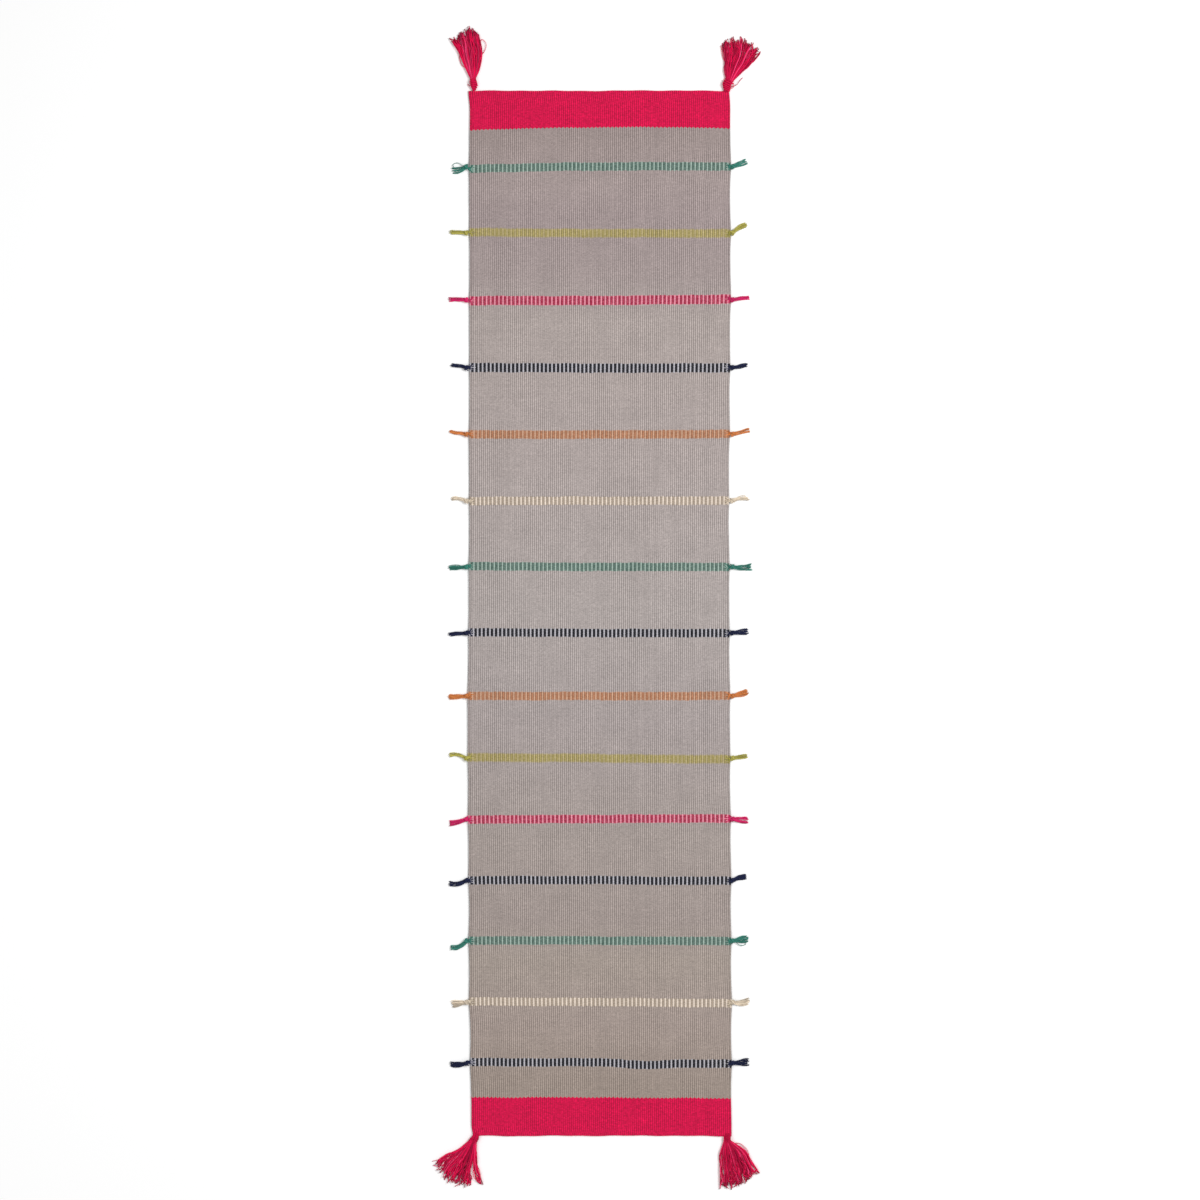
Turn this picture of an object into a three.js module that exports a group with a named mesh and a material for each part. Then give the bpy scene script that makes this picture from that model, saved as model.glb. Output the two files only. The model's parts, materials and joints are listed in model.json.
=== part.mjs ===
// Runner rug: a flat-woven cotton runner with a crimson band at each end, fifteen narrow pattern
// stripes across it, a tied yarn tuft at both ends of every stripe and a tassel at each corner.
// Frame, in millimetres: +X across the rug, +Y towards its head end, +Z up. The origin is the
// middle of the cloth's underside, so the rug lies on the plane z = 0.
import * as THREE from 'three';

// ---- Cloth ----
const RUG_WIDTH = 600;
const RUG_LENGTH = 2400;
const CLOTH_THICKNESS = 5;
const BAND_LENGTH = 84;            // each crimson end band, along the rug
const STRIPE_WIDTH = 20;           // each pattern stripe, along the rug
const STRIPE_DEPTH = 2.4;          // how far the pattern weft stands in the warp's upper side
const HEAD_MARGIN = 175;           // head end to the middle of the first stripe
const FOOT_MARGIN = 164;           // foot end to the middle of the last stripe
const TOUCH_GAP = 0.3;             // clearance between pieces that touch

// ---- Fold across the middle ----
const STACK_GAP = 1.4;             // between the two layers of yarn when the rug is folded

// ---- Side tufts ----
const TUFT_KNOT = 12;              // knot across, seen from above
const TUFT_KNOT_HEIGHT = 10.5;
const TUFT_NECK = 9;               // yarn just outside the knot
const TUFT_TAIL_HEIGHT = 6;
const TUFT_SIDES = 8;

// ---- Corner tassels ----
const TASSEL_KNOT_HEIGHT = 13;
const SKIRT_NECK = 15;
const SKIRT_HEIGHT = 10;
const SKIRT_TIP_HEIGHT = 6;
const TASSEL_SIDES = 12;

const YARN = {
  ground: 0xa1948f, crimson: 0xc92049, green: 0x3e8273, yellow: 0xb4aa3c, pink: 0xd71e5a,
  navy: 0x232a50, orange: 0xd7783c, cream: 0xdccdb9,
};

// The stripes from head to foot. closer is how much nearer a stripe stands to the one before it
// than the head end's even spacing: the weaver beat the foot half down harder. left and right
// are its two tufts: degrees towards the head, reach beyond the selvedge and spread of the tip.
const STRIPES = [
  { yarn: 'green', closer: 0, left: [-16, 38, 20], right: [22, 38, 16] },
  { yarn: 'yellow', closer: 1, left: [3, 44, 11], right: [32, 38, 12] },
  { yarn: 'pink', closer: -1, left: [2, 46, 11], right: [9, 44, 10] },
  { yarn: 'navy', closer: -3, left: [9, 42, 9], right: [10, 40, 10] },
  { yarn: 'orange', closer: 0, left: [9, 44, 9], right: [14, 44, 12] },
  { yarn: 'cream', closer: 0, left: [10, 40, 9], right: [7, 44, 10] },
  { yarn: 'green', closer: 1, left: [-5, 46, 11], right: [0, 50, 17] },
  { yarn: 'navy', closer: 1, left: [-4, 46, 10], right: [6, 42, 17] },
  { yarn: 'orange', closer: 8, left: [-3, 47, 13], right: [15, 42, 15] },
  { yarn: 'yellow', closer: 10, left: [11, 45, 9], right: [8, 40, 14] },
  { yarn: 'pink', closer: 13, left: [-14, 46, 13], right: [-5, 42, 20] },
  { yarn: 'navy', closer: 12, left: [-12, 46, 14], right: [15, 38, 14] },
  { yarn: 'green', closer: 14, left: [-26, 42, 12], right: [7, 42, 17] },
  { yarn: 'cream', closer: 12, left: [-8, 40, 18], right: [3, 45, 16] },
  { yarn: 'navy', closer: 13, left: [-5, 42, 16], right: [4, 43, 18] },
];

// The corner tassels. inset is from the selvedge. Each knot is [lean, length, width] and each
// skirt [lean, length, spread], the lean in degrees away from the rug's middle.
const TASSELS = [
  { name: 'head_left', end: 1, side: -1, inset: 11, knot: [3, 26, 17], skirt: [11, 116, 72] },
  { name: 'head_right', end: 1, side: 1, inset: 8, knot: [8, 26, 23], skirt: [20, 112, 94] },
  { name: 'foot_left', end: -1, side: -1, inset: 19, knot: [28, 21, 15], skirt: [27, 106, 104] },
  { name: 'foot_right', end: -1, side: 1, inset: 9, knot: [3, 18, 17], skirt: [20, 102, 96] },
];

// ---- Places along the rug, worked out from the sizes above ----
const halfLength = RUG_LENGTH / 2;
const closerSum = STRIPES.reduce((sum, stripe) => sum + stripe.closer, 0);
const stripeSpacing = (RUG_LENGTH - HEAD_MARGIN - FOOT_MARGIN + closerSum) / (STRIPES.length - 1);
const stripeMiddles = [];
STRIPES.forEach((stripe, index) => {
  const first = halfLength - HEAD_MARGIN;
  stripeMiddles.push(index ? stripeMiddles[index - 1] - stripeSpacing + stripe.closer : first);
});

// The fold runs across the ground midway between the two stripes nearest the rug's middle. Its
// axis is high enough for the folded half's yarn to lie on the lower half's.
const headStripeCount = Math.floor(STRIPES.length / 2);
const foldLine = (stripeMiddles[headStripeCount - 1] + stripeMiddles[headStripeCount]) / 2;
const foldHeight = (TASSEL_KNOT_HEIGHT + SKIRT_HEIGHT + 2 * TOUCH_GAP + STACK_GAP) / 2;

const degrees = Math.PI / 180;
const rug = new THREE.Group();
const headHalf = new THREE.Group();
const footHalf = new THREE.Group();
rug.add(headHalf, footHalf);

function addPiece(parent, name, geometry, yarn) {
  const material = new THREE.MeshStandardMaterial({ color: YARN[yarn], roughness: 0.95, metalness: 0 });
  const piece = new THREE.Mesh(geometry, material);
  piece.name = name;
  parent.add(piece);
  return piece;
}

// A piece of cloth as wide as the rug, from its outline seen from the selvedge: [y, z] points.
function clothAcross(outline) {
  const shape = new THREE.Shape(outline.map(([y, z]) => new THREE.Vector2(y, z)));
  const cloth = new THREE.ExtrudeGeometry(shape, { depth: RUG_WIDTH, bevelEnabled: false });
  cloth.applyMatrix4(new THREE.Matrix4().set(
    0, 0, 1, -RUG_WIDTH / 2,
    1, 0, 0, 0,
    0, 1, 0, 0,
    0, 0, 0, 1,
  ));
  return cloth;
}

function twoDigits(number) {
  return String(number).padStart(2, '0');
}

function clothBlock(from, to, bottom) {
  const top = CLOTH_THICKNESS;
  return clothAcross([[from, bottom], [to, bottom], [to, top], [from, top]]);
}

// The grey ground of one half. Its warp runs on under the stripes, so each stripe is let into a
// groove across its upper side.
function groundHalf(from, to, middles) {
  const outline = [[from, 0], [to, 0], [to, CLOTH_THICKNESS]];
  const groove = STRIPE_WIDTH / 2 + TOUCH_GAP;
  const floor = CLOTH_THICKNESS - STRIPE_DEPTH - TOUCH_GAP;
  for (const middle of middles) {
    outline.push([middle + groove, CLOTH_THICKNESS], [middle + groove, floor]);
    outline.push([middle - groove, floor], [middle - groove, CLOTH_THICKNESS]);
  }
  outline.push([from, CLOTH_THICKNESS]);
  return clothAcross(outline);
}

// A bundle of yarn lying along +Y: a turned shape, flattened at each station to its own height.
// A station gives where it is along the bundle, its width, its height and its middle's level.
function yarnBundle(stations, sides) {
  const profile = stations.map((station) => new THREE.Vector2(station.width / 2, station.along));
  const bundle = new THREE.LatheGeometry(profile, sides);
  const corners = bundle.attributes.position;
  for (let i = 0; i < corners.count; i += 1) {
    const station = stations[i % stations.length];
    const flatten = station.width > 0 ? station.height / station.width : 0;
    corners.setZ(i, corners.getZ(i) * flatten + station.level);
  }
  return bundle;
}

// The rounded near end of a bundle, from its tip to its full section. The tip's level may differ
// from the section's, as where a knot is tied to the cloth's edge.
function nearEnd(middle, reach, width, height, level, tipLevel = level) {
  return [0, 35, 65, 90].map((angle) => {
    const opened = Math.sin(angle * degrees);
    return {
      along: middle - reach * Math.cos(angle * degrees),
      width: width * opened,
      height: height * opened,
      level: tipLevel + (level - tipLevel) * opened,
    };
  });
}

// The rounded far end of a bundle, from its full section to its tip.
function farEnd(middle, reach, width, height, level) {
  return nearEnd(0, reach, width, height, level).reverse().map((station) => ({
    ...station,
    along: middle - station.along,
  }));
}

// A tied tuft: a round knot whose middle is the bundle's zero, then a tail that spreads.
function tuftGeometry(length, spread) {
  const knotLevel = TOUCH_GAP + TUFT_KNOT_HEIGHT / 2;
  const tailLevel = TOUCH_GAP + TUFT_TAIL_HEIGHT / 2;
  const radius = TUFT_KNOT / 2;
  const tipReach = 3;
  return yarnBundle([
    ...nearEnd(0, radius, TUFT_KNOT, TUFT_KNOT_HEIGHT, knotLevel, CLOTH_THICKNESS / 2),
    { along: radius * 0.9, width: TUFT_NECK, height: TUFT_TAIL_HEIGHT, level: tailLevel },
    ...farEnd(length - tipReach, tipReach, spread, TUFT_TAIL_HEIGHT, tailLevel),
  ], TUFT_SIDES);
}

function addTuft(half, stripe, index, sideName, side) {
  const [angle, reach, spread] = stripe[sideName];
  const pivotOut = TOUCH_GAP + TUFT_KNOT / 2;
  const length = (reach - pivotOut) / Math.cos(angle * degrees);
  const name = `tuft_${twoDigits(index + 1)}_${sideName}`;
  const tuft = addPiece(half, name, tuftGeometry(length, spread), stripe.yarn);
  tuft.position.set(side * (RUG_WIDTH / 2 + pivotOut), stripeMiddles[index], 0);
  tuft.rotation.z = side * (angle - 90) * degrees;
}

// A tassel: a long knot that turns about the round end next to the cloth, and a skirt of cut
// yarn that lifts about its own rounded base.
function addTassel({ name, end, side, inset, knot, skirt }) {
  const [knotLean, knotLength, knotWidth] = knot;
  const [skirtLean, skirtLength, skirtSpread] = skirt;
  const away = -side * end * degrees;
  const corner = new THREE.Group();
  corner.position.set(
    side * (RUG_WIDTH / 2 - inset),
    end * (halfLength + TOUCH_GAP + knotWidth / 2),
    0,
  );
  corner.rotation.z = (end > 0 ? 0 : Math.PI) + away * knotLean;
  (end > 0 ? headHalf : footHalf).add(corner);

  const knotLevel = TOUCH_GAP + TASSEL_KNOT_HEIGHT / 2;
  const knotEnd = knotLength - knotWidth / 2;
  const knotTip = 4;
  const tieLevel = CLOTH_THICKNESS / 2;
  addPiece(corner, `tassel_knot_${name}`, yarnBundle([
    ...nearEnd(0, knotWidth / 2, knotWidth, TASSEL_KNOT_HEIGHT, knotLevel, tieLevel),
    ...farEnd(knotEnd - knotTip, knotTip, knotWidth, TASSEL_KNOT_HEIGHT, knotLevel),
  ], TASSEL_SIDES), 'crimson');

  const skirtLevel = TOUCH_GAP + SKIRT_HEIGHT / 2;
  const tipLevel = TOUCH_GAP + SKIRT_TIP_HEIGHT / 2;
  const base = SKIRT_NECK / 2;
  const tip = 6;
  const shoulder = skirtLength * 0.45;
  const shoulderSpread = SKIRT_NECK + (skirtSpread - SKIRT_NECK) * 0.5;
  const skirtPiece = addPiece(corner, `tassel_skirt_${name}`, yarnBundle([
    ...nearEnd(0, base, SKIRT_NECK, SKIRT_HEIGHT, skirtLevel),
    { along: shoulder, width: shoulderSpread, height: SKIRT_HEIGHT - 1, level: skirtLevel - 0.5 },
    ...farEnd(skirtLength - base - tip, tip, skirtSpread, SKIRT_TIP_HEIGHT, tipLevel),
  ], TASSEL_SIDES), 'crimson');
  skirtPiece.position.y = knotEnd + TOUCH_GAP + base;
  skirtPiece.rotation.z = away * (skirtLean - knotLean);
}

// ---- Head half, and foot half ----
const headMiddles = stripeMiddles.slice(0, headStripeCount);
const footMiddles = stripeMiddles.slice(headStripeCount);
const bandInner = halfLength - BAND_LENGTH;
const seam = TOUCH_GAP / 2;
const headGround = groundHalf(foldLine + seam, bandInner - seam, headMiddles);
const footGround = groundHalf(-bandInner + seam, foldLine - seam, footMiddles);
addPiece(headHalf, 'end_band_head', clothBlock(bandInner + seam, halfLength, 0), 'crimson');
addPiece(headHalf, 'ground_head', headGround, 'ground');
addPiece(footHalf, 'ground_foot', footGround, 'ground');
addPiece(footHalf, 'end_band_foot', clothBlock(-halfLength, -bandInner - seam, 0), 'crimson');

STRIPES.forEach((stripe, index) => {
  const half = index < headStripeCount ? headHalf : footHalf;
  const name = `stripe_${twoDigits(index + 1)}_${stripe.yarn}`;
  const from = stripeMiddles[index] - STRIPE_WIDTH / 2;
  const strip = clothBlock(from, from + STRIPE_WIDTH, CLOTH_THICKNESS - STRIPE_DEPTH);
  addPiece(half, name, strip, stripe.yarn);
  addTuft(half, stripe, index, 'left', -1);
  addTuft(half, stripe, index, 'right', 1);
});

TASSELS.forEach(addTassel);

// Where the fold's hinge axis crosses the plane x = 0: the head half turns about it.
headHalf.userData.foldAxis = { y: foldLine, z: foldHeight };

export default rug;
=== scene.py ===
"""The looks of the runner rug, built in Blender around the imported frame.

The cloth is one ribbed ground with a crimson band at each end and fifteen pattern stripes. Its
ribs are real geometry and share one warp of the plane, so that every woven piece meets the next
without a step. Tufts and tassels are bundles of two-ply yarn.
"""

import json
import math

import bpy
import numpy as np
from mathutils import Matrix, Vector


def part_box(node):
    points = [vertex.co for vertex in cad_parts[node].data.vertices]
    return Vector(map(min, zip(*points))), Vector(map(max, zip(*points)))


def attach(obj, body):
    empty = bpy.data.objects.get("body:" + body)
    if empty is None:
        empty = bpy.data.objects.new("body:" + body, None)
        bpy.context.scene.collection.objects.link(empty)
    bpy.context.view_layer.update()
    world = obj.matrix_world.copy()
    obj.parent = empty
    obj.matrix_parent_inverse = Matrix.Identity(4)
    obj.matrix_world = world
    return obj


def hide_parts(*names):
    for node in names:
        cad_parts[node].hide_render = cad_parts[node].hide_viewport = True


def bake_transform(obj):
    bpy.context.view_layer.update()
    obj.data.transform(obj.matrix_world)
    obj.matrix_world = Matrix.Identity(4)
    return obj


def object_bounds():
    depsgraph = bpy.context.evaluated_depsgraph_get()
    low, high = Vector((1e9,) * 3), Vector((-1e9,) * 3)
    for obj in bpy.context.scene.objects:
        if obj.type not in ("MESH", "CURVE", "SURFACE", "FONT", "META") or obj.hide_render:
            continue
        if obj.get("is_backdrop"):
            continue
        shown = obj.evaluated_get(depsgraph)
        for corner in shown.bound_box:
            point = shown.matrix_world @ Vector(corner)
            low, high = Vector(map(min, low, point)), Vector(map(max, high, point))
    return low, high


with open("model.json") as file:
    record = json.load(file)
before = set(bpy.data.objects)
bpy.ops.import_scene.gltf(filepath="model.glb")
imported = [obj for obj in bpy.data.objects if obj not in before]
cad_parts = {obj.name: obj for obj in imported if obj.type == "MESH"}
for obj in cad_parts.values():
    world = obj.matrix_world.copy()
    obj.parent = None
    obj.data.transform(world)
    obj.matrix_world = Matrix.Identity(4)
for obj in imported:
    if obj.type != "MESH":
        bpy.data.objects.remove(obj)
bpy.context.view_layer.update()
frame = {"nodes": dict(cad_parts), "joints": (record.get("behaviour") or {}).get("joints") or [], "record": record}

MM = 0.001
joints = {joint["name"]: joint for joint in frame["joints"]}
bodies = frame["record"]["behaviour"]["bodies"]

# ---- Sizes taken from the frame ----
HALF_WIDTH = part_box("ground_head")[1].x
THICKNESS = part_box("ground_head")[1].z
HEAD_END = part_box("end_band_head")[1].y
FOOT_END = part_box("end_band_foot")[0].y
HEAD_SEAM = (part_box("ground_head")[1].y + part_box("end_band_head")[0].y) / 2
FOOT_SEAM = (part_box("ground_foot")[0].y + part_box("end_band_foot")[1].y) / 2
FOLD_Y = joints["centre_fold"]["pos_m"][1]

# ---- Weave ----
RIBS = 128
RIB_STEPS = 4                      # mesh columns across one rib
RIB_DEPTH = 1.1 * MM               # from a rib's crest to the valley beside it
PICK = 1.25 * MM                   # one weft pick, along the rug
SELVEDGE = 0.5 * MM                # half the height of the cloth's outermost edge
ROW_STEP = 13 * MM                 # mesh rows along plain ground
FINE_STEP = 2 * MM                 # mesh rows where the cloth folds or its colour changes
STRIPE_STEP = 1.5 * MM
STRIPE_MARGIN = 2.5 * MM           # ground woven into a stripe's piece on both sides of its colour
BAR_LIFT = 0.35 * MM               # how far a pattern weft stands above the ground
HEM_ROUND = 3 * MM                 # how far from its end the cloth starts to round off
SCALLOP = 1.4 * MM                 # how far each pair of ribs shifts a band's seam
SCALLOP_REACH = 6 * MM
FOLD_HALF = 17 * MM                # half the length of cloth that bends when the rug is folded
BAND_STEP = 7 * MM                 # mesh rows along an end band
HEM_ROWS = (0.12, 0.4, 1.0)        # extra rows where the cloth's end rounds off, as shares
FAR_FROM_STRIPE = 1000.0           # the weave's distance to a stripe where there is none

# ---- Colours as seen, sRGB ----
CRIMSON = (217, 16, 76)
CRIMSON_YARN = (203, 4, 68)
HIGHLIGHT_YARN = (222, 56, 106)         # painted highlight: a paler crimson for some tassel strands, standing in for strands that catch the light
GROUND_FADE = [                    # metres along the rug from its middle, and the ground there
    (1.10, (158, 144, 141)), (0.98, (165, 151, 149)), (0.91, (161, 147, 146)),
    (0.77, (164, 151, 149)), (0.67, (172, 161, 157)), (0.37, (173, 162, 159)),
    (0.00, (173, 164, 161)), (-0.25, (169, 159, 157)), (-0.52, (166, 155, 150)),
    (-0.71, (163, 151, 146)), (-0.80, (166, 154, 146)), (-0.94, (165, 151, 144)),
    (-1.08, (159, 145, 136)),
]
# For each yarn: the pattern weft's bars, the ribs between them, and the loose yarn of the tufts.
YARNS = {
    "green": ((82, 106, 97), (150, 170, 160), (56, 124, 110)),
    "yellow": ((162, 149, 94), (176, 162, 118), (170, 163, 82)),
    "pink": ((158, 33, 66), (222, 138, 156), (204, 38, 100)),
    "navy": ((20, 20, 28), (174, 172, 178), (27, 33, 64)),
    "orange": ((170, 116, 86), (194, 154, 128), (200, 122, 68)),
    "cream": ((226, 211, 196), (160, 145, 130), (216, 201, 180)),
}
# How single yarns and stripes differ, each with the value that all the others take.
FEATHER, FEATHERS = 0.5, {"yellow": 1.8, "orange": 0.9}      # mm that a stripe's edge blends over
TALLER = {"stripe_03_pink": 1.0, "stripe_04_navy": 1.0}      # mm that its bars are longer, else 0
WEAR, WEARS = 0.25, {"navy": 0.07}     # how much of the ribs between shows through a bar


def linear(colour):
    """An sRGB colour, 0 to 255, as Blender's linear RGBA."""
    shares = np.array(colour, float) / 255
    low, high = shares / 12.92, ((shares + 0.055) / 1.055) ** 2.4
    return (*np.where(shares <= 0.04045, low, high), 1.0)


# ---- Meshes ----
SHARP_ANGLE = math.radians(62)     # edges of woven pieces that bend more than this stay sharp


def make_object(name, vertices, faces, materials, attributes=None, flat=None, slots=None):
    """A mesh object. faces lists arrays of quads or triangles, attributes gives each vertex a vector
    per name, flat marks end walls and slots gives each face its material's number."""
    mesh = bpy.data.meshes.new(name)
    sizes = np.concatenate([np.full(len(f), f.shape[1]) for f in faces])
    corners = np.concatenate([f.ravel() for f in faces])
    mesh.vertices.add(len(vertices))
    mesh.vertices.foreach_set("co", np.asarray(vertices, np.float32).ravel())
    mesh.loops.add(len(corners))
    mesh.loops.foreach_set("vertex_index", corners.astype(np.int32))
    mesh.polygons.add(len(sizes))
    starts = np.concatenate([[0], np.cumsum(sizes)[:-1]])
    mesh.polygons.foreach_set("loop_start", starts.astype(np.int32))
    smooth = np.ones(len(sizes), bool) if flat is None else ~flat
    mesh.polygons.foreach_set("use_smooth", smooth)
    if slots is not None:
        mesh.polygons.foreach_set("material_index", slots.astype(np.int32))
    for key, values in (attributes or {}).items():
        mesh.attributes.new(key, "FLOAT_VECTOR", "POINT").data.foreach_set(
            "vector", np.asarray(values, np.float32).ravel())
    mesh.update(calc_edges=True)
    if flat is not None:
        mesh.set_sharp_from_angle(angle=SHARP_ANGLE)
    for material in materials:
        mesh.materials.append(material)
    made = bpy.data.objects.new(name, mesh)
    bpy.context.scene.collection.objects.link(made)
    return made


# ---- How the cloth really lies: every woven piece goes through this one warp ----
class Wander:
    """A smooth line of the given height, made of a few waves with random phases."""

    def __init__(self, seed, height, wavelengths):
        draws = np.random.default_rng(seed)
        self.waves = [(height / len(wavelengths) ** 0.5, 2 * math.pi / length,
                       draws.uniform(0, 2 * math.pi)) for length in wavelengths]

    def __call__(self, along):
        return sum(height * np.sin(rate * along + phase) for height, rate, phase in self.waves)


def bump(value, middle, reach):
    return np.exp(-(((value - middle) / reach) ** 2))


stripe_nodes = sorted(node for node in frame["nodes"] if node.startswith("stripe_"))
stripe_middles = [(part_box(node)[0].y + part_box(node)[1].y) / 2 for node in stripe_nodes]
STRIPE_HALF = (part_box(stripe_nodes[0])[1].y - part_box(stripe_nodes[0])[0].y) / 2
left_wander = Wander(11, 0.6 * MM, (0.62, 0.3, 0.153))
right_wander = Wander(12, 0.6 * MM, (0.7, 0.33, 0.148))
end_wander = Wander(13, 0.7 * MM, (0.35, 0.16, 0.07))
PULL = 55 * MM                     # how far from a woven line its wander still shows
# How far each woven line lies towards the head end, in millimetres, at the rug's left, middle and
# right: first the stripes, then the two bands' seams. The weaver's beat was not quite even.
LIES = [
    (-4, 0.5, 0), (1, -1, -1.5), (-2, -1.5, 1.5), (0.5, -1, -0.5), (-0.5, -1, 1), (-0.5, 0, 0),
    (1.5, 0, 0), (1.5, 0, -0.5), (0.5, 0, 0.5), (2, 0, -3), (-1.5, 0.5, 1.5), (0, 1, -0.5),
    (1, 1, -0.5), (2, 1, -2), (3.5, 2.5, -0.5), (-7.5, -0.5, -3), (3.5, 3, 1.5),
]
# Single dips towards the foot end: in which stripe, where across the rug, how deep and how wide.
DIPS = [(11, 0.14, 2 * MM, 0.06), (14, 0.105, 5.5 * MM, 0.05), (0, -0.22, 1 * MM, 0.08)]
lines = stripe_middles + [HEAD_SEAM, FOOT_SEAM]
line_wanders = [Wander(40 + i, 0.45 * MM, (0.33, 0.17, 0.09)) for i in range(len(lines))]


BULGE, BULGE_REACH = 1.5 * MM, 0.032   # the selvedge, pushed out where a stripe's yarn passes it
# How each selvedge strays towards +X: how far in millimetres, where along the rug, over what reach.
LEFT_STRAY = [(-3.4, -0.3, 0.36), (4, FOOT_END, 0.25), (3.5, FOOT_END, 0.014), (-3.5, HEAD_END, 0.025)]
RIGHT_STRAY = [(-3.6, 0.16, 0.42), (2.6, FOOT_END, 0.45), (-2.5, HEAD_END, 0.02)]


def bulge(y):
    return sum(BULGE * bump(y, middle, BULGE_REACH) for middle in stripe_middles)


def selvedge_line(y, start, strays, wander):
    line = start
    for stray, middle, reach in strays:
        line = line + stray * MM * bump(y, middle, reach)
    return line + wander(y)


def left_edge(y):
    return selvedge_line(y, -HALF_WIDTH + 1.5 * MM - bulge(y), LEFT_STRAY, left_wander)


def right_edge(y):
    return selvedge_line(y, HALF_WIDTH + 0.8 * MM + bulge(y), RIGHT_STRAY, right_wander)


def warp(u, y):
    """Where the point of the weave at rib u and nominal y lies: x, y and how far it is raised."""
    across = u / RIBS
    left, right = left_edge(y), right_edge(y)
    rib_sway = 0.4 * MM * np.sin(2 * math.pi * (y / 0.41 + across * 3.1)) * 4 * across * (1 - across)
    x = left + (right - left) * across + rib_sway
    moved = y + 0.3 * MM * np.clip(y / HEAD_END, 0, 1)
    foot = np.clip(y / FOOT_END, 0, 1) ** 6
    moved = moved - foot * (3.4 + 0.8 * (2 * across - 1) + 2 * bump(x, -0.21, 0.08)) * MM
    moved = moved + end_wander(x) * (bump(y, HEAD_END, 0.03) + bump(y, FOOT_END, 0.03))
    side = x / HALF_WIDTH
    for middle, (at_left, at_middle, at_right), wander in zip(lines, LIES, line_wanders):
        tilt, bow = (at_right - at_left) / 2, (at_right + at_left) / 2 - at_middle
        lie = at_middle * MM + tilt * MM * side + bow * MM * side ** 2 + wander(x)
        moved = moved + lie * bump(y, middle, PULL)
    for stripe, place, depth, width in DIPS:
        moved = moved - depth * bump(x, place, width) * bump(y, stripe_middles[stripe], PULL)
    for seam in (HEAD_SEAM, FOOT_SEAM):
        near = np.clip(1 - np.abs(y - seam) / SCALLOP_REACH, 0, 1) ** 2
        moved = moved + SCALLOP * np.cos(math.pi * u) * near
    edge = np.abs(2 * across - 1) ** 8
    ripple = 0.5 + 0.5 * np.sin(2 * math.pi * (y / 0.149 + 0.2 * np.sign(across - 0.5)))
    raised = 0.9 * MM * edge * ripple + 0.35 * MM * (0.5 + 0.5 * np.sin(y / 0.083 + 9 * across))
    return x, moved, raised


def ribbed_panel(rows, stripe_middle=None, hem=None):
    """A closed slab of ribbed cloth over the given rows: vertices, quads, weave, and which quads
    are end walls. weave holds the rib number, the place along the rug and that from the stripe's
    middle, the last two in millimetres."""
    columns = RIBS * RIB_STEPS + 1
    u = np.arange(columns) / RIB_STEPS
    crest = np.sin(math.pi * (u % 1)) ** 0.7
    grid_u, grid_y = np.meshgrid(u, rows)
    x, y, raised = warp(grid_u, grid_y)
    top = THICKNESS - RIB_DEPTH * (1 - crest) + raised
    bottom = RIB_DEPTH * (1 - crest) + raised * 0.5
    top[:, [0, -1]] = THICKNESS / 2 + SELVEDGE
    bottom[:, [0, -1]] = THICKNESS / 2 - SELVEDGE
    across_stripe = np.full(grid_y.shape, FAR_FROM_STRIPE)
    if stripe_middle is not None:
        across_stripe = (grid_y - stripe_middle) / MM
        on_bar = (np.floor(grid_u) % 2 == 1) * crest
        in_stripe = np.clip((STRIPE_HALF / MM + 0.5 - np.abs(across_stripe)) / 2, 0, 1)
        top = top + BAR_LIFT * on_bar * in_stripe
    if hem is not None:
        inside = np.clip(np.abs(grid_y - hem) / HEM_ROUND, 0, 1)
        full = 0.35 + 0.65 * np.sqrt(1 - (1 - inside) ** 2)
        middle = (top + bottom) / 2
        top, bottom = middle + (top - middle) * full, middle + (bottom - middle) * full
    vertices = np.concatenate([
        np.stack([x, y, top], -1).reshape(-1, 3), np.stack([x, y, bottom], -1).reshape(-1, 3)])
    weave = np.stack([grid_u, grid_y / MM, across_stripe], -1).reshape(-1, 3)

    upper = np.arange(grid_u.size).reshape(grid_u.shape)
    lower = upper + grid_u.size

    def quads(a, b, c, d):
        return np.stack([a, b, c, d], -1).reshape(-1, 4)

    sheet = [
        quads(upper[:-1, :-1], upper[:-1, 1:], upper[1:, 1:], upper[1:, :-1]),
        quads(lower[:-1, :-1], lower[1:, :-1], lower[1:, 1:], lower[:-1, 1:]),
        quads(upper[:-1, 0], upper[1:, 0], lower[1:, 0], lower[:-1, 0]),
        quads(upper[:-1, -1], lower[:-1, -1], lower[1:, -1], upper[1:, -1]),
    ]
    walls = [
        quads(upper[0, :-1], lower[0, :-1], lower[0, 1:], upper[0, 1:]),
        quads(upper[-1, :-1], upper[-1, 1:], lower[-1, 1:], lower[-1, :-1]),
    ]
    faces = np.concatenate(sheet + walls)
    flat = np.zeros(len(faces), bool)
    flat[-sum(len(w) for w in walls):] = True
    return vertices, faces, np.concatenate([weave, weave]), flat


def rows_between(low, high, step, fine=()):
    """Rows from low to high, no further apart than step, with finer rows around some places."""
    rows = list(np.linspace(low, high, max(2, math.ceil((high - low) / step) + 1)))
    for middle, reach in fine:
        start, stop = max(low, middle - reach), min(high, middle + reach)
        if stop > start:
            rows = [row for row in rows
                    if not start - step / 3 < row < stop + step / 3 or row in (low, high)]
            rows += list(np.linspace(start, stop, math.ceil((stop - start) / FINE_STEP) + 1))
    return np.unique(np.round(rows, 7))


def joined(panels):
    """Several panels as one: their arrays, with the faces' numbers moved on."""
    moved, count = [], 0
    for vertices, faces, _, _ in panels:
        moved.append(faces + count)
        count += len(vertices)
    return (np.concatenate([p[0] for p in panels]), np.concatenate(moved),
            np.concatenate([p[2] for p in panels]), np.concatenate([p[3] for p in panels]))


# ---- Yarn ----
TWIST = 9 * MM                     # one full turn of the two plies
PLY_WAIST = 0.62                   # the yarn's radius in the groove between its plies, as a share
FRAY = 0.22                        # how much wider a strand's cut end is
DARK_TIP_REACH = 6 * MM                # how far from its cut end a strand's colour darkens


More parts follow.
